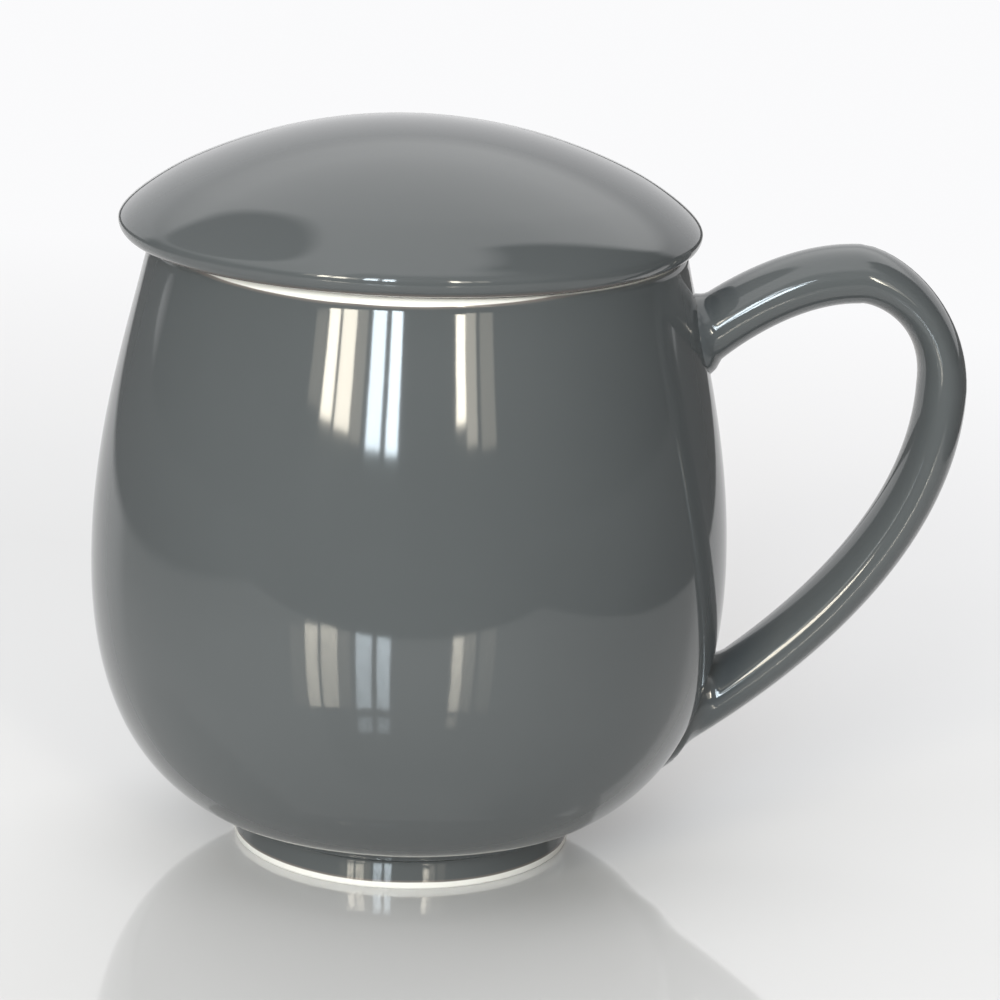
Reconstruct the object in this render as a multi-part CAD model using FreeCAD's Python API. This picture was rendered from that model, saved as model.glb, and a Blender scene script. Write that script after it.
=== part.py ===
import FreeCAD, Part
import math
import os

# Glazed porcelain tea mug with a loose domed lid and a lift-out steel infuser basket.
# Sizes are in millimetres. The mug stands on the plane Z = 0 with its axis on Z,
# and the handle points along +X.

V = FreeCAD.Vector

# Mug body
belly_radius = 47.5
belly_height = 43.5
rim_radius = 39.65
rim_height = 91.8
wall = 3.2
lip_wall = 3.0
lip_outer_round = 1.2
lip_inner_round = 0.8
foot_radius = 25.4
foot_height = 4.2
foot_draft = 0.3
foot_ring_width = 3.4
foot_edge = 0.5
recess_depth = 2.4
floor_thickness = 4.4
floor_flat_radius = 12.0

# Fullness of the body's curves: the angle at which the bowl leaves the foot, and how far the
# tangents pull at the foot, below and above the belly, at the rim and at the inner floor
bowl_start_angle = 24.0
bowl_start_pull = 6.7
belly_lower_pull = 31.8
belly_upper_pull = 19.3
rim_pull = 12.0
rim_lean = 0.213
floor_pull = 15.0
belly_inner_pull = 27.5

# Handle, as a centre line from the upper joint over the crown and down to the lower joint;
# drops are measured down from the rim and reaches out from the belly
handle_top_drop = 12.5
handle_top_angle = 40.5
handle_crown_reach = 17.5
handle_crown_drop = 2.7
handle_side_reach = 30.7
handle_side_drop = 19.3
handle_bottom_height = 21.7
handle_bottom_angle = 35.2
handle_width = 13.5
handle_joint_thickness = 9.1
handle_crown_thickness = 8.5
handle_corner_thickness = 6.7
handle_side_thickness = 7.4
handle_root_thickness = 8.4
handle_top_flare = 2.8
handle_bottom_flare = 1.4
handle_flare_length = 2.4
handle_top_sink = 3.0
handle_bottom_sink = 14.0

# Infuser basket, pressed from thin stainless sheet
sheet = 0.5
flange_inset = 1.05
neck_clearance = 1.0
neck_length = 11.0
bend_radius = 0.8
wall_sheet = 0.4
weld_gap = 0.05
collar_length = 4.0
basket_floor_gap = 20.5
basket_taper = 4.1
base_rim_height = 3.0
band_height = 4.5
band_lip = 2.4

# Slots of the basket: rows round the sleeve, and two rings in the floor that each reach
# from one share of the floor's radius to another
slot_width = 0.8
slot_rows = 3
slots_in_row = 40
slot_row_gap = 3.0
slot_margin = 3.25
inner_ring_slots = 16
inner_ring_start = 0.25
inner_ring_end = 0.52
outer_ring_slots = 32
outer_ring_start = 0.62
outer_ring_end = 0.9

# Lid; it lies off the mug's axis towards -X, where skirt_play is what is left of its clearance
lid_overhang = 3.1
dome_height = 17.4
crown_radius = 76.0
shoulder_width = 8.75
shoulder_pull = 3.6
dome_edge_pull = 1.6
edge_round = 2.4
lid_wall = 3.2
ceiling_cove = 3.0
skirt_clearance = 1.6
skirt_play = 0.35
skirt_wall = 2.6
skirt_depth = 7.0
skirt_edge = 0.6

# Sizes that follow from the ones above
foot_top_radius = foot_radius - foot_draft
floor_height = recess_depth + floor_thickness
lip_edge_height = rim_height - lip_outer_round
mouth_radius = rim_radius - lip_wall
seat_height = rim_height + sheet
flange_radius = rim_radius - flange_inset
neck_radius = mouth_radius - neck_clearance
neck_bore = neck_radius - sheet
neck_bottom = seat_height - neck_length
sleeve_radius = neck_bore - weld_gap
basket_foot_radius = sleeve_radius - basket_taper
basket_bottom = floor_height + basket_floor_gap
sleeve_bottom = basket_bottom + sheet + weld_gap
band_top = basket_bottom + band_height
slot_rise = (neck_bottom - band_top - 2 * slot_margin + slot_row_gap) / slot_rows
lid_radius = rim_radius + lid_overhang
crown_reach = lid_radius - shoulder_width
skirt_radius = neck_bore - skirt_clearance
skirt_bore = skirt_radius - skirt_wall
skirt_bottom = seat_height - skirt_depth
lid_shift = skirt_clearance - skirt_play


class Outline:
    """A closed outline in the XZ plane, drawn edge by edge through (radius, height) points."""

    def __init__(self, start):
        self.start = start
        self.at = start
        self.edges = []

    def add(self, curve, place):
        self.edges.append(curve.toShape())
        self.at = place
        return self

    def line(self, place):
        return self.add(Part.LineSegment(spot(self.at), spot(place)), place)

    def arc(self, through, place):
        return self.add(Part.Arc(spot(self.at), spot(through), spot(place)), place)

    def rounding(self, centre, radius, first_angle, last_angle, chords):
        """A small rounded edge, drawn as a few short chords."""
        for number in range(1, chords + 1):
            angle = blend(first_angle, last_angle, number / chords)
            self.line(around(centre, radius, angle))
        return self

    def curve(self, first_pole, second_pole, place, spans=1, chords=0):
        """A smooth curve on two poles, in spans of one curve or, where it is hidden, in chords."""
        poles = [spot(self.at), spot(first_pole), spot(second_pole), spot(place)]
        whole = bezier_through(*poles)
        for number in range(chords):
            end = whole.value((number + 1) / chords)
            self.line((end.x, end.z))
        for number in range(0 if chords else spans):
            span = bezier_through(*poles)
            span.segment(number / spans, (number + 1) / spans)
            self.add(span, place)
        return self

    def revolve(self):
        self.line(self.start)
        face = Part.Face(Part.Wire(self.edges))
        return face.revolve(V(0, 0, 0), V(0, 0, 1), 360)


def spot(place):
    """A (radius, height) pair as a point in the XZ plane."""
    return V(place[0], 0, place[1])


def around(centre, radius, angle):
    """The point at an angle, in degrees, on a circle about a (radius, height) centre."""
    turn = math.radians(angle)
    return centre[0] + radius * math.cos(turn), centre[1] + radius * math.sin(turn)


def blend(first, last, share):
    return first + (last - first) * share


def bezier_through(*poles):
    curve = Part.BezierCurve()
    curve.setPoles(list(poles))
    return curve


def below_rim(rim):
    """The pole that sets how the wall leans in as it reaches the rim."""
    slant = math.hypot(rim_lean, 1)
    return rim[0] + rim_pull * rim_lean / slant, rim[1] - rim_pull / slant


def draw_outer_wall(outline):
    """Draw the body's outer wall, from the top of the foot to the lip."""
    foot = outline.at
    belly = (belly_radius, belly_height)
    rim = (rim_radius, lip_edge_height)
    leave_foot = around(foot, bowl_start_pull, bowl_start_angle)
    outline.curve(leave_foot, (belly[0], belly[1] - belly_lower_pull), belly, spans=4)
    outline.curve((belly[0], belly[1] + belly_upper_pull), below_rim(rim), rim, spans=3)


def draw_inner_wall(outline):
    """Draw the inner wall, from the lip down to the flat of the floor."""
    belly = (belly_radius - wall, belly_height)
    floor = (floor_flat_radius, floor_height)
    rise = (belly[0], belly[1] + belly_upper_pull)
    drop = (belly[0], belly[1] - belly_inner_pull)
    leave_floor = (floor[0] + floor_pull, floor[1])
    outline.curve(below_rim(outline.at), rise, belly, chords=5)
    outline.curve(drop, leave_floor, floor, chords=7)


def mug_body():
    """The cup: a foot ring round a shallow recess, the swelling wall and a rounded lip."""
    ring_bore = foot_radius - foot_ring_width
    outline = Outline((0, recess_depth))
    outline.line((ring_bore - foot_edge, recess_depth))
    outline.line((ring_bore, foot_edge))
    outline.line((ring_bore + foot_edge, 0))
    outline.line((foot_radius - foot_edge, 0))
    outline.line((foot_radius, foot_edge))
    outline.line((foot_top_radius, foot_height))
    draw_outer_wall(outline)
    outer_centre = (rim_radius - lip_outer_round, lip_edge_height)
    inner_centre = (mouth_radius + lip_inner_round, rim_height - lip_inner_round)
    outline.rounding(outer_centre, lip_outer_round, 0, 90, chords=4)
    outline.line((inner_centre[0], rim_height))
    outline.rounding(inner_centre, lip_inner_round, 90, 180, chords=3)
    draw_inner_wall(outline)
    outline.line((0, floor_height))
    return outline.revolve()


def filled_body():
    """Everything within the body's outer wall, to which the handle's ends are trimmed."""
    outline = Outline((0, foot_height))
    outline.line((foot_top_radius, foot_height))
    draw_outer_wall(outline)
    outline.line((0, lip_edge_height))
    return outline.revolve()


def wall_point(height):
    """The point on the body's outer wall at a height, on the handle's side."""
    outline = Outline((foot_top_radius, foot_height))
    draw_outer_wall(outline)
    level = Part.Plane(V(0, 0, height), V(0, 0, 1))
    for edge in outline.edges:
        hits = edge.Curve.intersect(level)[0]
        if hits and edge.BoundBox.ZMin <= height <= edge.BoundBox.ZMax:
            return V(hits[0].X, 0, hits[0].Z)
    raise ValueError("the wall has no point at height %s" % height)


def handle_stretches():
    """The centre line's three stretches: joint to crown, round the corner, and down to the root."""
    top = wall_point(rim_height - handle_top_drop)
    crown = V(belly_radius + handle_crown_reach, 0, rim_height - handle_crown_drop)
    side = V(belly_radius + handle_side_reach, 0, rim_height - handle_side_drop)
    root = wall_point(handle_bottom_height)
    top_way = spot(around((0, 0), 1, handle_top_angle))
    root_way = spot(around((0, 0), 1, handle_bottom_angle))
    out = V(1, 0, 0)
    up = V(0, 0, 1)
    rise = (crown - top).Length
    turn = crown.z - side.z
    fall = side.z - root.z
    rising = bezier_through(top, top + top_way * rise * 0.25, crown - out * rise * 0.37, crown)
    corner = bezier_through(crown, crown + out * turn * 0.22, side + up * turn * 0.7, side)
    falling = bezier_through(side, side - up * fall * 0.4, root + root_way * fall * 0.43, root)
    return rising, corner, falling


def oval(centre, along, thickness, width):
    """An oval section across the handle, wide along Y and thin within the handle's plane."""
    section = Part.Ellipse(centre, width / 2, thickness / 2)
    section.Axis = along
    section.XAxis = V(0, 1, 0)
    return Part.Wire(section.toShape())


def handle():
    """The loop handle: an oval rod along its centre line, flared where it is luted to the body."""
    rising, corner, falling = handle_stretches()
    stations = []
    for share in (0.0, 0.1, 0.25, 0.5, 0.75):
        thickness = blend(handle_joint_thickness, handle_crown_thickness, share)
        stations.append((rising.value(share), rising.tangent(share)[0], thickness))
    for share in (0.0, 0.25, 0.45, 0.65, 0.85):
        thickness = blend(handle_crown_thickness, handle_side_thickness, share)
        usual = blend(handle_crown_thickness, handle_side_thickness, 0.5)
        thickness -= (usual - handle_corner_thickness) * math.sin(math.pi * share)
        stations.append((corner.value(share), corner.tangent(share)[0], thickness))
    for share in (0.0, 0.17, 0.34, 0.51, 0.68, 0.84, 1.0):
        thickness = blend(handle_side_thickness, handle_root_thickness, share)
        stations.append((falling.value(share), falling.tangent(share)[0], thickness))
    top, top_way, top_thickness = stations[0]
    root, root_way, root_thickness = stations[-1]
    stations.insert(0, (top - top_way * handle_top_sink, top_way, top_thickness))
    stations.append((root + root_way * handle_bottom_sink, root_way, root_thickness))
    sections = []
    for centre, along, thickness in stations:
        top_near = math.exp(-(centre - top).Length / handle_flare_length)
        root_near = math.exp(-(centre - root).Length / handle_flare_length)
        flare = handle_top_flare * top_near + handle_bottom_flare * root_near
        sections.append(oval(centre, along, thickness + flare, handle_width + flare))
    rod = Part.makeLoft(sections, True, True)
    return rod.cut(filled_body())


def infuser_rim():
    """The infuser's pressed rim: a flange that lies on the lip, bent down into a straight neck."""
    bend_centre = (neck_radius + bend_radius, rim_height - bend_radius)
    outer_bend = bend_radius + sheet
    outline = Outline((neck_radius, neck_bottom))
    outline.line((neck_radius, bend_centre[1]))
    outline.rounding(bend_centre, bend_radius, 180, 90, chords=2)
    outline.line((flange_radius, rim_height))
    outline.line((flange_radius, seat_height))
    outline.line((bend_centre[0], seat_height))
    outline.rounding(bend_centre, outer_bend, 90, 180, chords=3)
    outline.line((neck_bore, neck_bottom))
    return outline.revolve()


def slot_cutters(inner, outer, bottom, height, count, turn):
    """A ring of upright radial cutters, one for each slot, the first at a share of the pitch."""
    cutters = []
    for number in range(count):
        cutter = Part.makeBox(outer - inner, slot_width, height, V(inner, -slot_width / 2, bottom))
        cutter.rotate(V(0, 0, 0), V(0, 0, 1), 360 / count * (number + turn))
        cutters.append(cutter)
    return cutters


def infuser_wall():
    """The basket's slotted sleeve: a collar in the neck, a tapered wall, a collar at the base."""
    bore_at_top = sleeve_radius - wall_sheet
    bore_at_foot = basket_foot_radius - wall_sheet
    outline = Outline((basket_foot_radius, sleeve_bottom))
    outline.line((basket_foot_radius, band_top))
    outline.line((sleeve_radius, neck_bottom))
    outline.line((sleeve_radius, neck_bottom + collar_length))
    outline.line((bore_at_top, neck_bottom + collar_length))
    outline.line((bore_at_top, neck_bottom))
    outline.line((bore_at_foot, band_top))
    outline.line((bore_at_foot, sleeve_bottom))
    cutters = []
    for row in range(slot_rows):
        bottom = band_top + slot_margin + row * slot_rise
        turn = 0.25 + 0.5 * (row % 2)
        inner = bore_at_foot - 1
        outer = sleeve_radius + 1
        length = slot_rise - slot_row_gap
        cutters += slot_cutters(inner, outer, bottom, length, slots_in_row, turn)
    return outline.revolve().cut(cutters)


def infuser_base():
    """The basket's slotted floor: a shallow pressed cup whose rim stands up in the sleeve."""
    rim_outer = basket_foot_radius - wall_sheet - weld_gap
    rim_bore = rim_outer - wall_sheet
    under = sleeve_bottom
    outline = Outline((0, under))
    outline.line((rim_outer, under))
    outline.line((rim_outer, under + base_rim_height))
    outline.line((rim_bore, under + base_rim_height))
    outline.line((rim_bore, under + wall_sheet))
    outline.line((0, under + wall_sheet))
    cutters = []
    for start, end, count in (
        (inner_ring_start, inner_ring_end, inner_ring_slots),
        (outer_ring_start, outer_ring_end, outer_ring_slots),
    ):
        cutters += slot_cutters(
            rim_bore * start, rim_bore * end, under - 1, wall_sheet + 2, count, 0.25
        )
    return outline.revolve().cut(cutters)


def infuser_base_ring():
    """The ring that clasps the sleeve and the floor together, turned in under the base."""
    bore = basket_foot_radius + weld_gap
    outer = bore + sheet
    outline = Outline((bore - band_lip, basket_bottom))
    outline.line((outer, basket_bottom))
    outline.line((outer, band_top - weld_gap))
    outline.line((bore, band_top - weld_gap))
    outline.line((bore, basket_bottom + sheet))
    outline.line((bore - band_lip, basket_bottom + sheet))
    return outline.revolve()


def crown_arc(outline, radius, first, last, chords=0):
    """Draw part of the dome's round crown, whose centre lies on the axis, between two radii."""
    centre = (0, seat_height + dome_height - crown_radius)
    angles = [math.degrees(math.acos(reach / radius)) for reach in (first, last)]
    if chords:
        outline.rounding(centre, radius, *angles, chords)
    else:
        middle = around(centre, radius, sum(angles) / 2)
        outline.arc(middle, around(centre, radius, angles[1]))


def lid():
    """The domed lid: rolled edge, flat seat under it, and a skirt that drops into the infuser."""
    crown = (0, seat_height + dome_height)
    widest = (lid_radius, seat_height + edge_round)
    edge_centre = (lid_radius - edge_round, widest[1])
    outline = Outline(crown)
    crown_arc(outline, crown_radius, 0, crown_reach)
    slope = -math.degrees(math.asin(crown_reach / crown_radius))
    leave_crown = around(outline.at, shoulder_pull, slope)
    outline.curve(leave_crown, (widest[0], widest[1] + dome_edge_pull), widest, spans=2)
    outline.rounding(edge_centre, edge_round, 0, -90, chords=5)
    outline.line((skirt_radius, seat_height))
    outline.line((skirt_radius, skirt_bottom + skirt_edge))
    outline.line((skirt_radius - skirt_edge, skirt_bottom))
    outline.line((skirt_bore + skirt_edge, skirt_bottom))
    outline.line((skirt_bore, skirt_bottom + skirt_edge))
    ceiling_radius = crown_radius - lid_wall
    cove_reach = skirt_bore - ceiling_cove
    cove_drop = ceiling_radius - math.sqrt(ceiling_radius ** 2 - cove_reach ** 2)
    cove_height = crown[1] - lid_wall - cove_drop
    outline.line((skirt_bore, cove_height - ceiling_cove * 1.4))
    outline.line((cove_reach, cove_height))
    crown_arc(outline, ceiling_radius, cove_reach, 0, chords=5)
    return outline.revolve().translated(V(-lid_shift, 0, 0))


pieces = {
    "mug_body": mug_body,
    "handle": handle,
    "infuser_rim": infuser_rim,
    "infuser_wall": infuser_wall,
    "infuser_base": infuser_base,
    "infuser_base_ring": infuser_base_ring,
    "lid": lid,
}

os.makedirs("parts", exist_ok=True)
for name, make in pieces.items():
    shape = make()
    shape.exportStep("parts/%s.step" % name)
    print(name, len(shape.Solids), "solid,", round(shape.Volume / 1000, 2), "cm3,", shape.isValid())
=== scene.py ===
import math

import bpy
from mathutils import Matrix, Vector
from mathutils.geometry import interpolate_bezier


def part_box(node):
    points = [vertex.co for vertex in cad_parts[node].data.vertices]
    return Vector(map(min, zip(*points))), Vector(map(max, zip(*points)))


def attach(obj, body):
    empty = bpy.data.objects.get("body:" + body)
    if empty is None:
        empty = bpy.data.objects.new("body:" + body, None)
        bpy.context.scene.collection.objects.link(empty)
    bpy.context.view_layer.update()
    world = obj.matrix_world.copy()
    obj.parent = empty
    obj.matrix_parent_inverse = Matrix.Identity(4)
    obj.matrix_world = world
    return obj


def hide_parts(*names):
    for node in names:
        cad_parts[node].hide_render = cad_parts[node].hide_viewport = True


# The looks of a glazed porcelain tea mug with a loose domed lid and a steel infuser.
# Lengths are in metres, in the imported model's own frame.

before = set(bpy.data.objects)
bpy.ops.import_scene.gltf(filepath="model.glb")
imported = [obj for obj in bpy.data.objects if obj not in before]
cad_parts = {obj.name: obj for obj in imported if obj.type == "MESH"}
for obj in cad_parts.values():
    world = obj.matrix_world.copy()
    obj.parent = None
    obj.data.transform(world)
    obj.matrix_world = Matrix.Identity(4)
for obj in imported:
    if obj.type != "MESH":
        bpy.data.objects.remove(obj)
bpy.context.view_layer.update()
mug_low, mug_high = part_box("mug_body")
rim_low, rim_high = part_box("infuser_rim")
lid_low, lid_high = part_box("lid")

bl_info = {
    "name": "Lidded tea mug",
    "version": (1, 0, 0),
    "blender": (4, 5, 0),
    "location": "3D View > Sidebar > Tea mug",
    "description": "Builds the porcelain, the steel finish and the stage round the packed tea mug",
    "category": "Object",
}

ROUND_STEPS = 256
MM = 0.001
BOWL_START = math.radians(24)
FOOT_HOLLOW = 0.5 * MM
WALL_PULL = 6.7 * MM
RIM_ROUND = 1.2 * MM
ROOT_STEPS = 14
ROOT_REACH = 6 * MM
TOP_SINK = 3 * MM
ROOT_SINK = 14 * MM
SWELL_REACH = 2.2 * MM
SWELL_HEIGHT = 1.3 * MM
CORE_INSET = 0.8 * MM
# Painted shade: the share of the porcelain white kept inside the cup, under the lid and in the recess.
INNER_PAINTED_SHADE = 0.82
WINDOW_DISTANCE = 2.0
WINDOW_AIM = 0.075


def length_setting(name, description, default):
    """A size that a user may change, in metres."""
    return bpy.props.FloatProperty(
        name=name, description=description, default=default, precision=5, unit="LENGTH", subtype="DISTANCE")


def angle_setting(name, description, default):
    """An angle that a user may change, in radians."""
    return bpy.props.FloatProperty(
        name=name, description=description, default=default, precision=5, unit="ROTATION", subtype="ANGLE")


def share_setting(name, description, default):
    """A share from 0 to 1 that a user may change."""
    return bpy.props.FloatProperty(
        name=name, description=description, default=default, min=0.0, max=1.0, subtype="FACTOR")


def level_setting(name, description, default):
    """A light level that a user may change."""
    return bpy.props.FloatProperty(name=name, description=description, default=default, min=0.0)


def colour_setting(name, description, default):
    """A colour that a user may change."""
    return bpy.props.FloatVectorProperty(
        name=name, description=description, default=default, size=3, min=0.0, max=1.0, subtype="COLOR")


class MugSizes(bpy.types.PropertyGroup):
    """Sizes of the cup."""

    belly_radius: length_setting("Belly radius", "Radius of the widest part", mug_high.x)
    belly_height: length_setting("Belly height", "Height of the widest part", 43.5 * MM)
    rim_radius: length_setting("Rim radius", "Outer radius of the lip", 39.65 * MM)
    rim_height: length_setting("Rim height", "Height of the lip", mug_high.z)
    wall: length_setting("Wall", "Thickness of the wall", 3.2 * MM)
    lip_wall: length_setting("Lip wall", "Thickness of the lip", 3.0 * MM)
    foot_radius: length_setting("Foot radius", "Outer radius of the foot ring", 25.4 * MM)
    foot_height: length_setting("Foot height", "Height of the foot ring", 4.2 * MM)
    foot_ring_width: length_setting("Foot ring width", "Width of the ring the mug stands on", 3.4 * MM)
    foot_draft: length_setting("Foot draft", "How much narrower the foot is at its top", 0.5 * MM)
    recess_depth: length_setting("Recess depth", "Depth of the hollow under the foot", 2.4 * MM)
    floor_thickness: length_setting("Floor thickness", "Thickness of the floor", 4.4 * MM)
    bare_foot: length_setting("Bare foot edge", "Height of the unglazed edge of the foot", 1.1 * MM)
    bare_lip: length_setting("Bare lip", "Depth of the white band at the front and back of the lip", 1.0 * MM)


class HandleSizes(bpy.types.PropertyGroup):
    """Sizes of the loop handle."""

    top_height: length_setting("Upper joint height", "Height of the joint near the rim", 79.3 * MM)
    top_angle: angle_setting("Upper joint angle", "Rise of the handle at the upper joint", math.radians(40.5))
    crown_reach: length_setting("Crown reach", "Distance of the crown from the belly", 17.5 * MM)
    crown_height: length_setting("Crown height", "Height of the centre line's crown", 89.1 * MM)
    side_reach: length_setting("Side reach", "Distance of the outermost point from the belly", 30.7 * MM)
    side_height: length_setting("Side height", "Height of the outermost point", 72.5 * MM)
    bottom_height: length_setting("Lower joint height", "Height of the lower joint", 21.7 * MM)
    bottom_angle: angle_setting("Lower joint angle", "Fall of the handle at the lower joint", math.radians(35.2))
    width: length_setting("Width", "Width of the handle's section", 13.5 * MM)


class LidSizes(bpy.types.PropertyGroup):
    """Sizes of the domed lid."""

    radius: length_setting("Lid radius", "Radius of the rolled edge", (lid_high.x - lid_low.x) / 2)
    shift: length_setting("Lid shift", "How far the lid lies off the mug's axis", (lid_high.x + lid_low.x) / 2)
    seat_height: length_setting("Seat height", "Height at which the lid lies on the infuser", rim_high.z)
    apex_height: length_setting("Apex height", "Height of the top of the dome", lid_high.z)
    crown_radius: length_setting("Crown radius", "Radius of the round crown", 76.0 * MM)
    crown_reach: length_setting("Crown reach", "Radius at which the crown turns down", 34.0 * MM)
    edge_round: length_setting("Edge round", "Radius of the rolled edge's underside", 2.4 * MM)
    wall: length_setting("Lid wall", "Thickness of the dome", 3.2 * MM)
    skirt_radius: length_setting("Skirt radius", "Outer radius of the locating skirt", 33.55 * MM)
    skirt_wall: length_setting("Skirt wall", "Thickness of the skirt", 2.6 * MM)
    skirt_bottom: length_setting("Skirt bottom", "Height of the skirt's lower edge", lid_low.z)


class Finishes(bpy.types.PropertyGroup):
    """Colours and gloss of the glaze, the bare porcelain and the steel."""

    glaze: colour_setting("Grey glaze", "Colour of the outer glaze", (0.083, 0.090, 0.094))
    porcelain: colour_setting("White porcelain", "Colour of the white body and inner glaze", (0.80, 0.79, 0.76))
    edge_glaze: colour_setting("Thin glaze", "Colour where the glaze thins out at an edge", (0.30, 0.24, 0.21))
    steel: colour_setting("Steel", "Colour of the stainless sheet", (0.60, 0.59, 0.57))
    glaze_roughness: share_setting("Glaze roughness", "Roughness of the glaze", 0.06)
    steel_roughness: share_setting("Steel roughness", "Mean roughness of the steel", 0.26)


class StageSettings(bpy.types.PropertyGroup):
    """The floor, the light and the camera."""

    floor: colour_setting("Floor", "Colour of the floor", (0.72, 0.715, 0.72))
    background: colour_setting("Background", "Colour of the background", (0.96, 0.96, 0.97))
    front_level: level_setting("Front level", "Light from in front at table height", 0.15)
    upper_level: level_setting("Upper level", "Light from in front, higher up", 0.5)
    side_level: level_setting("Side level", "Light from the right", 0.04)
    back_level: level_setting("Back level", "Light from behind, higher up", 2.0)
    back_slant: level_setting("Back slant", "How much brighter it is behind to the right than to the left", 0.6)
    top_level: level_setting("Top level", "Light from overhead", 1.9)
    shade_way: bpy.props.FloatVectorProperty(
        name="Shaded spot", description="Direction of a dim round spot in the light",
        default=(-0.606, 0.283, 0.743), subtype="DIRECTION")
    table_front: length_setting("Table front", "Distance of the table's near edge, as the glaze mirrors it", 0.207)
    table_right: length_setting("Table right", "Distance of the table's right edge, as the glaze mirrors it", 0.20)
    table_left: length_setting("Table left", "Distance of the table's left edge, as the glaze mirrors it", 0.26)
    # Painted light from the right: with the unfaded floor centred to the left, the right side fades to the pale
    # background first.
    fade_shift: length_setting("Fade shift", "How far to the left the unfaded floor is centred", 0.12)
    fade_start: length_setting("Fade start", "Distance at which the floor starts to fade", 0.16)
    fade_end: length_setting("Fade end", "Distance at which the floor has faded", 0.44)
    front_fade_start: length_setting("Front fade start", "Distance in front at which the floor fades early", 0.12)
    front_fade_end: length_setting("Front fade end", "Distance in front at which the floor has faded", 0.19)
    floor_radius: length_setting("Floor radius", "Radius of the floor", 4.0)
    camera_distance: length_setting("Camera distance", "Distance of the camera from the mug's axis", 0.5473825)
    camera_height: length_setting("Camera height", "Height of the camera", 0.2044881)
    camera_pitch: angle_setting("Camera pitch", "How far the camera looks down", 0.2702838)
    camera_yaw: angle_setting("Camera yaw", "How far the camera looks to the right", 0.0242870)
    camera_roll: angle_setting("Camera roll", "How far the camera leans", 0.0379970)
    focal_length: bpy.props.FloatProperty(
        name="Focal length", description="Focal length in millimetres", default=136.778, unit="CAMERA")


def point(radius, height):
    """A point in the XZ plane, from its distance to the axis and its height."""
    return Vector((radius, 0.0, height))


def turned(angle):
    """The unit direction in the XZ plane at an angle in radians above +X."""
    return point(math.cos(angle), math.sin(angle))


class Profile:
    """A line of points in the XZ plane, from which a round piece is spun."""

    def __init__(self, start):
        self.points = [start]

    @property
    def end(self):
        return self.points[-1]

    def line(self, *places):
        self.points.extend(places)
        return self

    def curve(self, first_pull, second_pull, end, steps):
        """A smooth curve to end, pulled by two points as a Bezier curve is."""
        self.points.extend(interpolate_bezier(self.end, first_pull, second_pull, end, steps + 1)[1:])
        return self

    def arc(self, centre, radius, first, last, steps):
        """Part of a circle, between two angles in degrees."""
        for number in range(1, steps + 1):
            angle = math.radians(first + (last - first) * number / steps)
            self.points.append(centre + turned(angle) * radius)
        return self


def start_fresh():
    """Leave edit mode and deselect all, so the next operator acts on its own piece only."""
    if bpy.context.object and bpy.context.object.mode != "OBJECT":
        bpy.ops.object.mode_set(mode="OBJECT")
    bpy.ops.object.select_all(action="DESELECT")


def spin_piece(name, profile, shift=0.0):
    """Extrude one point along a profile and spin the line round the axis into a closed piece."""
    start_fresh()
    bpy.ops.mesh.primitive_plane_add(size=MM)
    piece = bpy.context.object
    piece.name = name
    piece.data.name = name
    bpy.ops.object.mode_set(mode="EDIT")
    bpy.ops.mesh.select_mode(type="VERT")
    bpy.ops.mesh.merge(type="CENTER")
    bpy.ops.transform.translate(value=profile.points[0])
    for place, following in zip(profile.points, profile.points[1:]):
        bpy.ops.mesh.extrude_vertices_move(TRANSFORM_OT_translate={"value": following - place})
    bpy.ops.mesh.select_all(action="SELECT")
    bpy.ops.mesh.spin(steps=ROUND_STEPS, angle=math.tau, center=(0, 0, 0), axis=(0, 0, 1))
    bpy.ops.mesh.select_all(action="SELECT")
    bpy.ops.mesh.remove_doubles(threshold=0.004 * MM)
    bpy.ops.mesh.normals_make_consistent(inside=False)
    bpy.ops.transform.translate(value=(shift, 0, 0))
    bpy.ops.object.mode_set(mode="OBJECT")
    bpy.ops.object.shade_smooth_by_angle(angle=math.radians(40))
    return piece


def paint_faces(piece, material, chosen):
    """Give the faces that chosen picks, by their centre and normal, a further material."""
    piece.data.materials.append(material)
    start_fresh()
    bpy.context.view_layer.objects.active = piece
    piece.select_set(True)
    for face in piece.data.polygons:
        face.select = chosen(face.center, face.normal)
    for edge in piece.data.edges:
        edge.select = False
    for vertex in piece.data.vertices:
        vertex.select = False
    bpy.ops.object.mode_set(mode="EDIT")
    bpy.ops.mesh.select_mode(type="FACE")
    piece.active_material_index = len(piece.data.materials) - 1
    bpy.ops.object.material_slot_assign()
    bpy.ops.object.mode_set(mode="OBJECT")


class Wire:
    """A number or colour on its way through a material. Arithmetic on it adds the Math nodes."""

    def __init__(self, finish, socket):
        self.finish = finish
        self.socket = socket

    def other(self, name):
        """Another output of the same node."""
        return Wire(self.finish, self.socket.node.outputs[name])

    def maths(self, operation, *values, clamp=False):
        inputs = dict(enumerate((self,) + values))
        return self.finish.node("ShaderNodeMath", {"operation": operation, "use_clamp": clamp}, inputs)

    def __add__(self, value):
        return self.maths("ADD", value)

    def __sub__(self, value):
        return self.maths("SUBTRACT", value)

    def __mul__(self, value):
        return self.maths("MULTIPLY", value)

    def __truediv__(self, value):
        return self.maths("DIVIDE", value)

    def __pow__(self, value):
        return self.maths("POWER", value)

    def __radd__(self, value):
        return self + value

    def __rmul__(self, value):
        return self * value

    def __rsub__(self, value):
        return self * -1.0 + value

    def __rtruediv__(self, value):
        return self ** -1.0 * value

    def within(self, low, high):
        """A share that rises from 0 at low to 1 at high, and the other way where low is the higher."""
        return (self - low).maths("MULTIPLY", 1 / (high - low), clamp=True)

    def towards(self, value, share):
        """This number, moved towards another by a share."""
        return self + (value - self) * share


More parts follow.
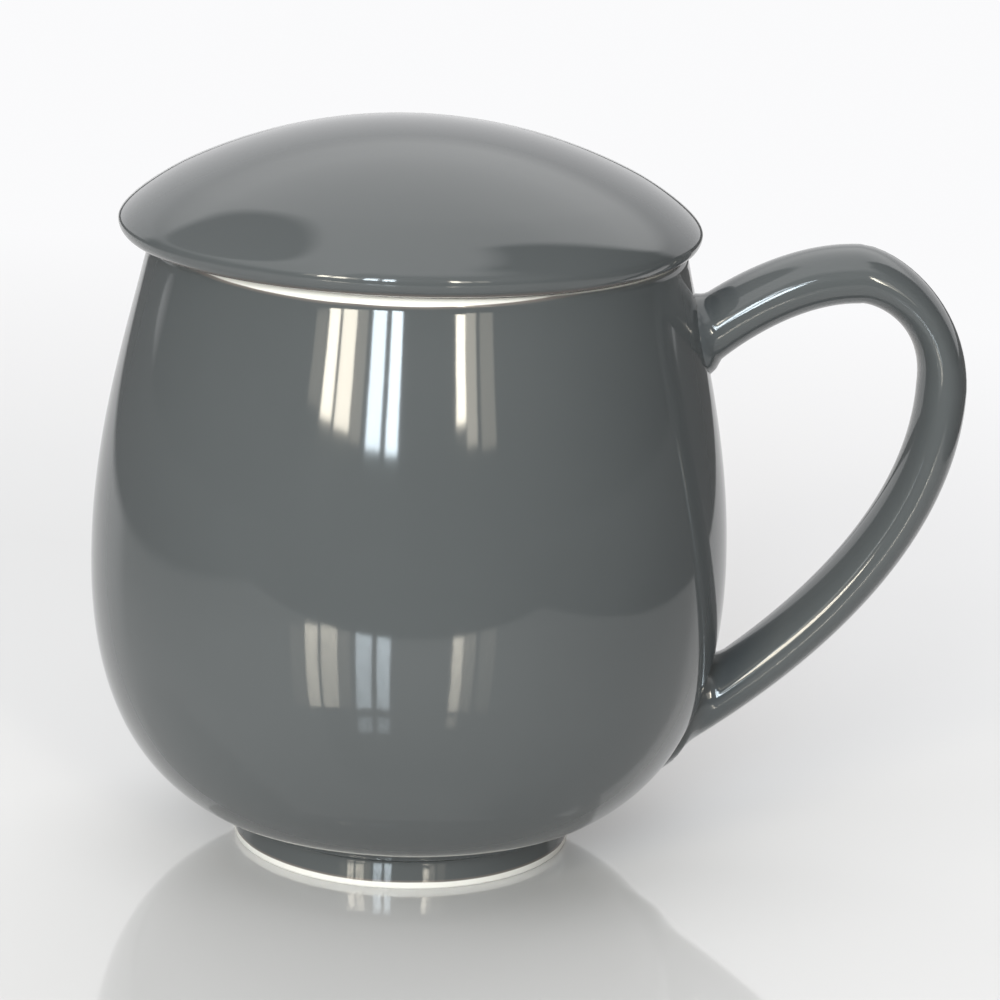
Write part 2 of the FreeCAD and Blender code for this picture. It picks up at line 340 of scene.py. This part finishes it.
class Finish:
    """The nodes of one material, or of the world."""

    def __init__(self, owner):
        self.owner = owner
        self.owner.use_nodes = True
        self.tree = self.owner.node_tree
        self.tree.nodes.clear()

    def node(self, kind, settings=None, inputs=None, output=0):
        """Add a node: its settings first, then the values or links of its sockets."""
        made = self.tree.nodes.new(kind)
        for name, value in (settings or {}).items():
            if name == "stops":
                while len(made.color_ramp.elements) < len(value):
                    made.color_ramp.elements.new(1.0)
                for element, (place, colour) in zip(made.color_ramp.elements, value):
                    element.position = place
                    element.color = colour
            else:
                setattr(made, name, value)
        for name, value in (inputs or {}).items():
            if isinstance(value, Wire):
                self.tree.links.new(value.socket, made.inputs[name])
            else:
                made.inputs[name].default_value = value
        return Wire(self, made.outputs[output]) if len(made.outputs) else None

    def place(self):
        """Object coordinates, and the distance from the axis and the height they give."""
        spot = self.node("ShaderNodeTexCoord", output="Object")
        x = self.node("ShaderNodeSeparateXYZ", inputs={"Vector": spot}, output="X")
        radius = (x * x + x.other("Y") * x.other("Y")) ** 0.5
        return spot, x, radius

    def noise(self, spot, scale, detail=2.0, roughness=0.5):
        return self.node("ShaderNodeTexNoise", inputs={
            "Vector": spot, "Scale": scale, "Detail": detail, "Roughness": roughness}, output="Fac")

    def mix(self, share, first, second):
        """Two colours, mixed by a share."""
        return self.node("ShaderNodeMix", {"data_type": "RGBA"}, {0: share, 6: first, 7: second}, output=2)

    def bump(self, height, strength, distance):
        return self.node("ShaderNodeBump", inputs={"Height": height, "Strength": strength, "Distance": distance})

    def principled(self, inputs):
        """Close the material with a Principled shader."""
        return self.surface(self.node("ShaderNodeBsdfPrincipled", inputs=inputs))

    def surface(self, shader):
        self.node("ShaderNodeOutputMaterial", inputs={"Surface": shader})
        return self.owner


def opaque(colour):
    """A colour with full opacity, as the shader sockets want it."""
    return (*colour, 1.0)


def grey_glaze(name, edges=None):
    """Grey outer glaze: glossy, faintly wavy and a little uneven in tone; edges says where it ends."""
    finishes = bpy.context.scene.tea_mug_finishes
    finish = Finish(bpy.data.materials.new(name))
    spot, x, radius = finish.place()
    cloud = finish.noise(spot, 38.0, 3.0)
    tone = finish.mix(cloud, opaque([c * 0.94 for c in finishes.glaze]), opaque([c * 1.06 for c in finishes.glaze]))
    gloss = finish.noise(spot, 60.0, 2.0) * 0.03 + (finishes.glaze_roughness - 0.015)
    ripple = finish.noise(spot, 95.0, 1.0) * 0.6 + finish.noise(spot, 420.0, 1.0) * 0.08
    if edges:
        thin, bare = edges(finish, spot, x, radius)
        tone = finish.mix(thin, tone, opaque(finishes.edge_glaze))
        tone = finish.mix(bare, tone, opaque(finishes.porcelain))
        gloss = gloss + bare * 0.3
    return finish.principled({
        "Base Color": tone,
        "Roughness": gloss,
        "IOR": 1.5,
        "Normal": finish.bump(ripple, 0.25, 0.06 * MM),
    })


def cup_edges(finish, spot, x, radius):
    """Where the cup's glaze thins and ends: at a wiped lip, whose white band fades at the sides, and the foot."""
    sizes = bpy.context.scene.tea_mug_sizes
    y, z = x.other("Y"), x.other("Z")
    wander = finish.noise(spot, 70.0, 2.0) * 0.3 * MM - 0.15 * MM
    slant = (y.maths("ABSOLUTE") - sizes.rim_radius) * -0.096 + x * 0.02
    above = z - slant - wander - (sizes.rim_height - sizes.bare_lip)
    crest = radius.within(sizes.rim_radius - 0.6 * MM, sizes.rim_radius - 0.9 * MM)
    crest = crest * z.within(sizes.rim_height - 3 * MM, sizes.rim_height - 2.5 * MM)
    below = sizes.bare_foot - z + wander
    bare = above.within(-0.06 * MM, 0.06 * MM).maths("MAXIMUM", below.within(-0.06 * MM, 0.06 * MM))
    thin = above.within(-0.45 * MM, 0.0).maths("MAXIMUM", below.within(-0.4 * MM, 0.0)) * 0.5
    return thin, bare.maths("MAXIMUM", crest)


def lid_edges(finish, spot, x, radius):
    """Where the lid's glaze thins out: on the underside of its rolled edge."""
    seat = bpy.context.scene.tea_mug_lid.seat_height
    rise = x.other("Z") - seat
    return rise.within(0.9 * MM, 0.3 * MM) * 0.45, rise.within(0.2 * MM, 0.1 * MM)


def white_glaze():
    """White porcelain under clear glaze, painted darker than the bare body as shade: inside, under the lid, in the
    recess.
    """
    finishes = bpy.context.scene.tea_mug_finishes
    finish = Finish(bpy.data.materials.new("white_glaze"))
    spot, x, radius = finish.place()
    cloud = finish.noise(spot, 30.0, 3.0)
    # Painted shade: the white is darkened to this share of the porcelain colour, with a little random tone.
    tone = finish.mix(cloud, opaque([c * (INNER_PAINTED_SHADE - 0.02) for c in finishes.porcelain]),
                      opaque([c * INNER_PAINTED_SHADE for c in finishes.porcelain]))
    return finish.principled({
        "Base Color": tone,
        "Roughness": finish.noise(spot, 60.0, 2.0) * 0.04 + 0.08,
        "IOR": 1.5,
        "Normal": finish.bump(finish.noise(spot, 110.0, 1.0), 0.25, 0.05 * MM),
    })


def bare_porcelain():
    """Unglazed white porcelain, on the foot ring and the lip."""
    finishes = bpy.context.scene.tea_mug_finishes
    finish = Finish(bpy.data.materials.new("bare_porcelain"))
    spot, x, radius = finish.place()
    grain = finish.noise(spot, 2600.0, 3.0, 0.6)
    tone = finish.mix(grain, opaque([c * 0.95 for c in finishes.porcelain]), opaque(finishes.porcelain))
    return finish.principled({
        "Base Color": tone,
        "Roughness": grain * 0.15 + 0.42,
        "Normal": finish.bump(grain, 0.3, 0.02 * MM),
    })


def brushed_steel():
    """Stainless sheet with fine brushing round the axis."""
    finishes = bpy.context.scene.tea_mug_finishes
    finish = Finish(bpy.data.materials.new("brushed_steel"))
    spot, x, radius = finish.place()
    across = radius + x.other("Z")
    brushed = finish.node("ShaderNodeCombineXYZ", inputs={
        0: x / radius * 1.5, 1: x.other("Y") / radius * 1.5, 2: across * 5200.0})
    streaks = finish.noise(brushed, 1.0, 4.0, 0.6)
    cloud = finish.noise(spot, 55.0, 2.0)
    tone = finish.mix(streaks, opaque([c * 0.90 for c in finishes.steel]), opaque(finishes.steel))
    return finish.principled({
        "Base Color": tone,
        "Metallic": 1.0,
        "Roughness": streaks * 0.12 + cloud * 0.06 + (finishes.steel_roughness - 0.09),
        "Normal": finish.bump(streaks, 0.2, 0.01 * MM),
    })


def shared_material(make):
    """A material that several pieces share, made the first time that one asks for it."""
    return bpy.data.materials.get(make.__name__) or make()


def below_rim(rim):
    """Where the wall's tangent pulls from as it leans in to the rim."""
    lean = Vector((0.213, 0.0, -1.0)).normalized()
    return rim + lean * 12.0 * MM


def draw_outer_wall(profile, sizes, start_pull):
    """Draw the cup's outer wall, from the top of the foot to the lip."""
    belly = point(sizes.belly_radius, sizes.belly_height)
    rim = point(sizes.rim_radius, sizes.rim_height - RIM_ROUND)
    up = point(0, MM)
    leave_foot = profile.end + turned(BOWL_START) * start_pull
    profile.curve(leave_foot, belly - up * 31.8, belly, 56)
    profile.curve(belly + up * 19.3, below_rim(rim), rim, 44)


class OBJECT_OT_tea_mug_body(bpy.types.Operator):
    """Spin the cup and glaze it grey outside and white inside"""

    bl_idname = "object.tea_mug_body"
    bl_label = "Mug body"

    def execute(self, context):
        sizes = context.scene.tea_mug_sizes
        ring_bore = sizes.foot_radius - sizes.foot_ring_width
        floor_height = sizes.recess_depth + sizes.floor_thickness
        edge = 0.5 * MM
        profile = Profile(point(0, sizes.recess_depth))
        profile.line(point(8 * MM, sizes.recess_depth), point(16 * MM, sizes.recess_depth))
        profile.line(point(ring_bore - 1.2 * edge, sizes.recess_depth))
        profile.arc(point(ring_bore - 1.2 * edge, sizes.recess_depth - edge), edge, 90, 25, 4)
        profile.line(point(ring_bore, edge))
        profile.arc(point(ring_bore + edge, edge), edge, 180, 270, 5)
        profile.arc(point(sizes.foot_radius - edge, edge), edge, 270, 360, 5)
        corner = point(sizes.foot_radius - sizes.foot_draft, sizes.foot_height)
        profile.line(corner - point(-0.04 * MM, 0.5 * MM))
        profile.curve(profile.end.lerp(corner, 0.7), corner + turned(BOWL_START) * 0.15 * MM,
                      corner + turned(BOWL_START) * FOOT_HOLLOW, 8)
        draw_outer_wall(profile, sizes, WALL_PULL - FOOT_HOLLOW)
        rim = sizes.rim_height
        profile.arc(point(sizes.rim_radius - RIM_ROUND, rim - RIM_ROUND), RIM_ROUND, 0, 90, 10)
        mouth = sizes.rim_radius - sizes.lip_wall
        inner_round = 0.8 * MM
        profile.line(point(mouth + inner_round, rim))
        profile.arc(point(mouth + inner_round, rim - inner_round), inner_round, 90, 180, 8)
        belly = point(sizes.belly_radius - sizes.wall, sizes.belly_height)
        floor = point(12 * MM, floor_height)
        profile.curve(below_rim(profile.end), belly + point(0, 19.3 * MM), belly, 34)
        profile.curve(belly - point(0, 27.5 * MM), floor + point(15 * MM, 0), floor, 34)
        profile.line(point(6 * MM, floor_height), point(0, floor_height))
        cup = spin_piece("cup", profile)
        cup.data.materials.append(shared_material(white_glaze))

        def outside(centre, normal):
            return centre.xy.dot(normal.xy) > 0.05 * centre.xy.length

        paint_faces(cup, grey_glaze("cup_glaze", cup_edges), outside)
        paint_faces(cup, shared_material(bare_porcelain), lambda centre, normal: (
            not outside(centre, normal) and not edge * 2 < centre.z < rim - inner_round))
        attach(cup, "mug")
        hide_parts("mug_body")
        return {"FINISHED"}


def drawn_curve(name, stretches):
    """A planar Bezier curve through stretches of four points each."""
    start_fresh()
    bpy.ops.curve.primitive_bezier_curve_add()
    line = bpy.context.object
    line.name = name
    line.data.resolution_u = 64
    line.data.dimensions = "3D"
    line.data.twist_mode = "MINIMUM"
    spline = line.data.splines[0]
    spline.bezier_points.add(len(stretches) - 1)
    for number, knot in enumerate(spline.bezier_points):
        before = stretches[number - 1] if number else None
        after = stretches[number] if number < len(stretches) else None
        knot.handle_left_type = knot.handle_right_type = "FREE"
        knot.co = after[0] if after else before[3]
        knot.handle_left = before[2] if before else knot.co * 2 - after[1]
        knot.handle_right = after[1] if after else knot.co * 2 - before[2]
    return line


class OBJECT_OT_tea_mug_handle(bpy.types.Operator):
    """Draw the loop handle out along its centre line and trim it to the cup"""

    bl_idname = "object.tea_mug_handle"
    bl_label = "Handle"

    def execute(self, context):
        sizes = context.scene.tea_mug_sizes
        handle = context.scene.tea_mug_handle
        outer = Profile(point(sizes.foot_radius - sizes.foot_draft, sizes.foot_height))
        draw_outer_wall(outer, sizes, WALL_PULL)
        top = wall_point(outer, handle.top_height)
        root = wall_point(outer, handle.bottom_height)
        crown = point(sizes.belly_radius + handle.crown_reach, handle.crown_height)
        side = point(sizes.belly_radius + handle.side_reach, handle.side_height)
        top_way = turned(handle.top_angle)
        root_way = turned(handle.bottom_angle)
        out, up = point(1, 0), point(0, 1)
        rise, turn, fall = (crown - top).length, crown.z - side.z, side.z - root.z
        start = top - top_way * TOP_SINK
        stop = root - root_way * ROOT_SINK
        stretches = [
            (start, start + top_way * MM, top - top_way * MM, top),
            (top, top + top_way * rise * 0.25, crown - out * rise * 0.37, crown),
            (crown, crown + out * turn * 0.22, side + up * turn * 0.7, side),
            (side, side - up * fall * 0.4, root + root_way * fall * 0.43, root),
            (root, root - root_way * 4 * MM, stop + root_way * 4 * MM, stop),
        ]
        line = drawn_curve("handle_line", stretches)
        rod = straight_rod("handle_loop", stretches, handle.width)
        bend = rod.modifiers.new("follow", "CURVE")
        bend.object = line
        bend.deform_axis = "POS_X"
        apply_modifiers(rod)
        bpy.data.objects.remove(line)
        join_to_cup(rod, outer)
        rod.data.materials.clear()
        rod.data.materials.append(grey_glaze("handle_glaze"))
        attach(rod, "mug")
        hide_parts("handle")
        return {"FINISHED"}


def wall_point(profile, height):
    """The point of a profile at a height."""
    for low, high in zip(profile.points, profile.points[1:]):
        if low.z <= height <= high.z:
            return low.lerp(high, (height - low.z) / (high.z - low.z))
    raise ValueError("the wall has no point at that height")


def blend(first, last, share):
    return first + (last - first) * share


def straight_rod(name, stretches, width):
    """The handle before it is bent: a ring extruded along X, thicker and thinner as the handle is."""
    spans = [interpolate_bezier(*stretch, 65) for stretch in stretches]
    lengths = [sum((b - a).length for a, b in zip(span, span[1:])) for span in spans]
    thick = [9.1 * MM, 9.1 * MM, 8.5 * MM, 7.4 * MM, 8.4 * MM, 8.4 * MM]
    pinch = [0.0, 0.0, 1.25 * MM, 0.0, 0.0]
    stations = []
    before = 0.0
    for number, length in enumerate(lengths):
        joint_end = ROOT_REACH / length
        fine = [joint_end * step / ROOT_STEPS for step in range(ROOT_STEPS)]
        coarse = max(2, round((length - ROOT_REACH) / (0.9 * MM)))
        shares = [step / coarse for step in range(coarse)]
        if number in (1, 4):
            shares = fine + [joint_end + (1 - joint_end) * share for share in shares]
        elif number == 3:
            shares = [(1 - joint_end) * share for share in shares]
            shares += [1 - share for share in reversed(fine)][:-1]
        for share in shares:
            thickness = blend(thick[number], thick[number + 1], share)
            thickness -= pinch[number] * math.sin(math.pi * share)
            stations.append((before + length * share, thickness))
        before += length
    stations.append((before, thick[-1]))
    start_fresh()
    bpy.ops.mesh.primitive_circle_add(vertices=64, radius=0.5, fill_type="NGON", rotation=(0, math.pi / 2, 0))
    rod = bpy.context.object
    rod.name = name
    rod.data.name = name
    bpy.ops.object.transform_apply(location=False, rotation=True, scale=False)
    bpy.ops.object.mode_set(mode="EDIT")
    bpy.ops.mesh.select_all(action="SELECT")
    size = [1.0, 1.0]
    at = 0.0
    for number, (place, thickness) in enumerate(stations):
        if number:
            bpy.ops.mesh.extrude_region_move(TRANSFORM_OT_translate={"value": (place - at, 0, 0)})
        bpy.ops.transform.resize(
            value=(1, width / size[0], thickness / size[1]), center_override=(place, 0, 0))
        size = [width, thickness]
        at = place
    bpy.ops.mesh.select_all(action="SELECT")
    bpy.ops.mesh.normals_make_consistent(inside=False)
    bpy.ops.object.mode_set(mode="OBJECT")
    return rod


def apply_modifiers(piece):
    """Apply a piece's modifiers in their order."""
    start_fresh()
    bpy.context.view_layer.objects.active = piece
    piece.select_set(True)
    for name in [modifier.name for modifier in piece.modifiers]:
        bpy.ops.object.modifier_apply(modifier=name)


def join_to_cup(rod, outer):
    """Let the rod swell into a soft fillet at the cup's wall, and cut off what would stand inside.

    At the slanting lower root the swelling leaves a thin ridge a few millimetres below the joint.
    """
    profile = Profile(point(0, outer.points[0].z))
    for place in outer.points[::2]:
        profile.line(place - point(CORE_INSET, 0))
    profile.line(point(0, outer.end.z))
    core = spin_piece("core", profile)
    group = rod.vertex_groups.new(name="near_wall")
    group.add(range(len(rod.data.vertices)), 1.0, "REPLACE")
    near = rod.modifiers.new("near_wall", "VERTEX_WEIGHT_PROXIMITY")
    near.vertex_group = group.name
    near.target = core
    near.proximity_mode = "GEOMETRY"
    near.proximity_geometry = {"FACE"}
    near.min_dist = CORE_INSET + SWELL_REACH
    near.max_dist = CORE_INSET
    near.falloff_type = "SHARP"
    swell = rod.modifiers.new("swell", "DISPLACE")
    swell.vertex_group = group.name
    swell.strength = SWELL_HEIGHT
    swell.mid_level = 0.0
    cut = rod.modifiers.new("trim", "BOOLEAN")
    cut.operation = "DIFFERENCE"
    cut.solver = "EXACT"
    cut.object = core
    apply_modifiers(rod)
    rod.vertex_groups.clear()
    bpy.data.objects.remove(core)
    bpy.ops.object.mode_set(mode="EDIT")
    bpy.ops.mesh.select_all(action="SELECT")
    bpy.ops.mesh.remove_doubles(threshold=0.005 * MM)
    bpy.ops.mesh.normals_make_consistent(inside=False)
    bpy.ops.object.mode_set(mode="OBJECT")
    bpy.ops.object.shade_smooth_by_angle(angle=math.radians(50))


class OBJECT_OT_tea_mug_lid(bpy.types.Operator):
    """Spin the domed lid with its rolled edge, seat and skirt"""

    bl_idname = "object.tea_mug_lid"
    bl_label = "Lid"

    def execute(self, context):
        sizes = context.scene.tea_mug_lid
        seat = sizes.seat_height
        centre = point(0, sizes.apex_height - sizes.crown_radius)
        lean = math.degrees(math.asin(sizes.crown_reach / sizes.crown_radius))
        profile = Profile(point(0, sizes.apex_height))
        profile.arc(centre, sizes.crown_radius, 90, 90 - lean, 30)
        widest = point(sizes.radius, seat + sizes.edge_round)
        leave = profile.end + turned(math.radians(-lean)) * 3.6 * MM
        profile.curve(leave, widest + point(0, 1.6 * MM), widest, 22)
        profile.arc(widest - point(sizes.edge_round, 0), sizes.edge_round, 0, -90, 14)
        edge = 0.6 * MM
        skirt_bore = sizes.skirt_radius - sizes.skirt_wall
        bottom = sizes.skirt_bottom
        profile.line(point(sizes.skirt_radius + edge, seat))
        profile.arc(point(sizes.skirt_radius + edge, seat - edge), edge, 90, 180, 5)
        profile.line(point(sizes.skirt_radius, bottom + edge))
        profile.arc(point(sizes.skirt_radius - edge, bottom + edge), edge, 0, -90, 5)
        profile.arc(point(skirt_bore + edge, bottom + edge), edge, -90, -180, 5)
        cove = 3.0 * MM
        ceiling = sizes.crown_radius - sizes.wall
        cove_lean = math.asin((skirt_bore - cove) / ceiling)
        cove_end = centre + turned(math.pi / 2 - cove_lean) * ceiling
        profile.line(point(skirt_bore, cove_end.z - cove * 1.4))
        profile.curve(point(skirt_bore, cove_end.z - cove * 0.6), cove_end + turned(-cove_lean) * cove * 0.6,
                      cove_end, 8)
        profile.arc(centre, ceiling, 90 - math.degrees(cove_lean), 90, 20)
        lid = spin_piece("dome_lid", profile, sizes.shift)
        lid.data.materials.append(shared_material(white_glaze))
        axis = point(sizes.shift, 0)
        paint_faces(lid, grey_glaze("lid_glaze", lid_edges), lambda place, normal: (
            normal.z > 0 and place.z > seat or (place - axis).xy.length > sizes.radius - sizes.edge_round))
        paint_faces(lid, shared_material(bare_porcelain), lambda place, normal: (
            abs(place.z - seat) < 0.01 * MM and normal.z < -0.5))
        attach(lid, "lid")
        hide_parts("lid")
        return {"FINISHED"}


class OBJECT_OT_tea_mug_infuser(bpy.types.Operator):
    """Give the infuser's pressings their brushed steel"""

    bl_idname = "object.tea_mug_infuser"
    bl_label = "Infuser"

    def execute(self, context):
        for name in ("infuser_rim", "infuser_wall", "infuser_base", "infuser_base_ring"):
            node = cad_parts[name]
            node.data.materials.clear()
            node.data.materials.append(shared_material(brushed_steel))
        return {"FINISHED"}


def camera_turn(pitch, yaw, roll):
    """The camera's axes, from how far it looks down and right and how far it leans."""
    right = Vector((math.cos(yaw), -math.sin(yaw), 0))
    forward = Vector((math.cos(pitch) * math.sin(yaw), math.cos(pitch) * math.cos(yaw), -math.sin(pitch)))
    up = Vector((math.sin(pitch) * math.sin(yaw), math.sin(pitch) * math.cos(yaw), math.cos(pitch)))
    across = right * math.cos(roll) + up * math.sin(roll)
    upward = up * math.cos(roll) - right * math.sin(roll)
    return Matrix((across, upward, -forward)).transposed()


def add_window(name, azimuths, elevations, strength, colour):
    """An upright lamp the shape of a window pane, between directions in degrees seen from the mug."""
    reach = WINDOW_DISTANCE
    middle = math.radians(sum(azimuths) / 2)
    half = math.radians((azimuths[1] - azimuths[0]) / 2)
    bottom, top = (WINDOW_AIM + reach * math.tan(math.radians(angle)) for angle in elevations)
    way = Vector((math.sin(middle), -math.cos(middle), 0))
    start_fresh()
    bpy.ops.object.light_add(type="AREA", location=way * reach + Vector((0, 0, (bottom + top) / 2)))
    lamp = bpy.context.object
    lamp.name = name
    lamp.rotation_euler = way.to_track_quat("Z", "Y").to_euler()
    lamp.visible_camera = False
    lamp.data.shape = "RECTANGLE"
    lamp.data.size = 2 * reach * math.tan(half)
    lamp.data.size_y = top - bottom
    lamp.data.energy = strength * lamp.data.size * lamp.data.size_y * math.pi
    lamp.data.color = colour


CREAM = (1.0, 0.93, 0.78)
SKY = (0.80, 0.92, 1.0)
WINDOW_PANES = (
    ("window_a_side", (-41.0, -36.5), (11, 28), 2.0, CREAM),
    ("window_a_main", (-35.5, -31.0), (10.5, 28), 27.0, CREAM),
    ("window_b_main", (-29.8, -24.0), (10.2, 28), 22.0, CREAM),
    ("window_b_side", (-23.5, -19.5), (9.5, 28), 3.0, CREAM),
    ("window_c_main", (-17.5, -12.0), (9.2, 28), 26.0, SKY),
    ("window_c_top", (-17.5, -12.0), (30.5, 35.5), 12.0, SKY),
    ("window_d_main", (-10.0, -5.5), (9.0, 28), 28.0, SKY),
    ("window_d_top", (-10.0, -5.5), (30.5, 35.5), 12.0, SKY),
    ("window_e_main", (16.0, 19.7), (11.3, 28), 30.0, CREAM),
    ("window_e_top", (16.0, 19.7), (29.5, 33), 9.0, CREAM),
    ("window_e_side", (20.0, 24.0), (9.5, 28), 6.0, CREAM),
    ("window_f_side", (25.5, 31.0), (9.0, 28), 2.5, CREAM),
)


def soft_room(stage):
    """Light by direction: dim in front and to the right, bright behind and overhead.

    The levels are fitted to what the glaze mirrors from the camera's side; they are no plain studio light.
    """
    room = Finish(bpy.data.worlds.new("soft_room"))
    way = room.node("ShaderNodeTexCoord", output="Generated")
    x = room.node("ShaderNodeSeparateXYZ", inputs={"Vector": way}, output="X")
    y, z = x.other("Y"), x.other("Z")
    azimuth = x.maths("ARCTAN2", y * -1.0)
    front = z.within(0.15, 0.35) * (stage.upper_level - stage.front_level) + stage.front_level
    behind = (x * 0.75 - y * 0.66 + z * 0.09).within(0.23, 0.17)
    low_back = room.node("ShaderNodeValToRGB", {"stops": [
        (0.15, (0.08,) * 4), (0.30, (0.25,) * 4), (0.42, (0.80,) * 4), (0.50, (1.15,) * 4),
        (0.56, (1.45,) * 4), (0.85, (0.95,) * 4)]}, {"Fac": x * 0.5 + 0.5})
    low_back = low_back * (z.within(0.25, 0.15) * 0.3 + 1.0)
    back = low_back.towards(x * stage.back_slant + stage.back_level, z.within(0.25, 0.6))
    shaded = azimuth.within(math.radians(45), math.radians(75))
    shaded = shaded * azimuth.within(math.radians(133), math.radians(128)) * z.within(0.97, 0.93)
    level = front.towards(back, behind).towards(stage.top_level, z.within(0.80, 0.92))
    level = level.towards(stage.side_level, shaded)
    spot = room.node("ShaderNodeVectorMath", {"operation": "DOT_PRODUCT"}, {
        0: way, 1: stage.shade_way}, output="Value")
    level = level.towards(stage.front_level * 2, spot.within(0.92, 0.945))
    light = room.node("ShaderNodeBackground", inputs={"Strength": level})
    seen = room.node("ShaderNodeBackground", inputs={"Color": opaque(stage.background)})
    path = room.node("ShaderNodeLightPath", output="Is Camera Ray")
    mirrored = path.other("Is Glossy Ray").maths("MAXIMUM", path.other("Is Transmission Ray"))
    share = path.maths("MAXIMUM", mirrored * y.within(0.5, 0.6) * z.within(0.5, 0.4))
    both = room.node("ShaderNodeMixShader", inputs={0: share, 1: light, 2: seen})
    room.node("ShaderNodeOutputWorld", inputs={"Surface": both})
    return room.owner


def pale_floor(stage):
    """Glossy pale tabletop that fades into the background, sooner on the right as painted light from that side; the
    glaze mirrors a dark room past its edges.
    """
    finish = Finish(bpy.data.materials.new("pale_floor"))
    spot, x, radius = finish.place()
    top = finish.node("ShaderNodeBsdfPrincipled", inputs={
        "Base Color": opaque(stage.floor),
        "Roughness": finish.noise(spot, 9.0) * 0.03 + 0.035,
        "IOR": 2.0,
    })
    # Painted light: the unfaded floor is centred to the left, so the floor on the right turns pale sooner.
    side, y = x + stage.fade_shift, x.other("Y")
    away = (side * side + y * y) ** 0.5
    pale = away.within(stage.fade_start, stage.fade_end)
    pale = pale.maths("MAXIMUM", y.within(-stage.front_fade_start, -stage.front_fade_end))
    path = finish.node("ShaderNodeLightPath", output="Is Camera Ray")
    seen = finish.node("ShaderNodeEmission", inputs={"Color": opaque(stage.background)})
    faded = finish.node("ShaderNodeMixShader", inputs={0: path * pale, 1: top, 2: seen})
    dark = finish.node("ShaderNodeEmission", inputs={"Color": opaque([stage.front_level] * 3)})
    beyond = y.within(-stage.table_front, -stage.table_front - 0.01)
    beyond = beyond.maths("MAXIMUM", x.within(stage.table_right, stage.table_right + 0.01))
    beyond = beyond.maths("MAXIMUM", x.within(-stage.table_left, -stage.table_left - 0.05))
    return finish.surface(finish.node("ShaderNodeMixShader", inputs={
        0: path.other("Is Glossy Ray") * beyond, 1: faded, 2: dark}))


class OBJECT_OT_tea_mug_stage(bpy.types.Operator):
    """Lay the pale floor and set up the room, the window lamps and the camera"""

    bl_idname = "object.tea_mug_stage"
    bl_label = "Stage"

    def execute(self, context):
        stage = context.scene.tea_mug_stage
        start_fresh()
        bpy.ops.mesh.primitive_circle_add(vertices=96, radius=stage.floor_radius, fill_type="NGON")
        floor = context.object
        floor.name = "floor"
        floor.data.materials.append(pale_floor(stage))
        context.scene.world = soft_room(stage)
        for pane in WINDOW_PANES:
            add_window(*pane)
        start_fresh()
        bpy.ops.object.camera_add(location=(0, -stage.camera_distance, stage.camera_height))
        camera = context.object
        camera.rotation_euler = camera_turn(stage.camera_pitch, stage.camera_yaw, stage.camera_roll).to_euler()
        camera.data.lens = stage.focal_length
        camera.data.sensor_width = 36.0
        camera.data.clip_start = 0.01
        camera.data.clip_end = 20.0
        context.scene.camera = camera
        context.scene.view_settings.view_transform = "Standard"
        return {"FINISHED"}


class VIEW3D_PT_tea_mug(bpy.types.Panel):
    """Buttons that build the tea mug's pieces and stage"""

    bl_label = "Tea mug"
    bl_idname = "VIEW3D_PT_tea_mug"
    bl_space_type = "VIEW_3D"
    bl_region_type = "UI"
    bl_category = "Tea mug"

    def draw(self, context):
        for operator in OPERATORS:
            self.layout.operator(operator.bl_idname)
        for name in SETTINGS:
            box = self.layout.box()
            group = getattr(context.scene, name)
            for field in group.__annotations__:
                box.prop(group, field)


SETTINGS = {
    "tea_mug_sizes": MugSizes,
    "tea_mug_handle": HandleSizes,
    "tea_mug_lid": LidSizes,
    "tea_mug_finishes": Finishes,
    "tea_mug_stage": StageSettings,
}
OPERATORS = (
    OBJECT_OT_tea_mug_body,
    OBJECT_OT_tea_mug_handle,
    OBJECT_OT_tea_mug_lid,
    OBJECT_OT_tea_mug_infuser,
    OBJECT_OT_tea_mug_stage,
)


def register():
    for group in SETTINGS.values():
        bpy.utils.register_class(group)
    for name, group in SETTINGS.items():
        setattr(bpy.types.Scene, name, bpy.props.PointerProperty(type=group))
    for operator in OPERATORS:
        bpy.utils.register_class(operator)
    bpy.utils.register_class(VIEW3D_PT_tea_mug)


def unregister():
    bpy.utils.unregister_class(VIEW3D_PT_tea_mug)
    for operator in reversed(OPERATORS):
        bpy.utils.unregister_class(operator)
    for name in SETTINGS:
        delattr(bpy.types.Scene, name)
    for group in reversed(SETTINGS.values()):
        bpy.utils.unregister_class(group)


def main():
    """Build everything."""
    register()
    bpy.ops.object.tea_mug_body()
    bpy.ops.object.tea_mug_handle()
    bpy.ops.object.tea_mug_lid()
    bpy.ops.object.tea_mug_infuser()
    bpy.ops.object.tea_mug_stage()
    bpy.context.view_layer.update()


if __name__ == "__main__":
    main()
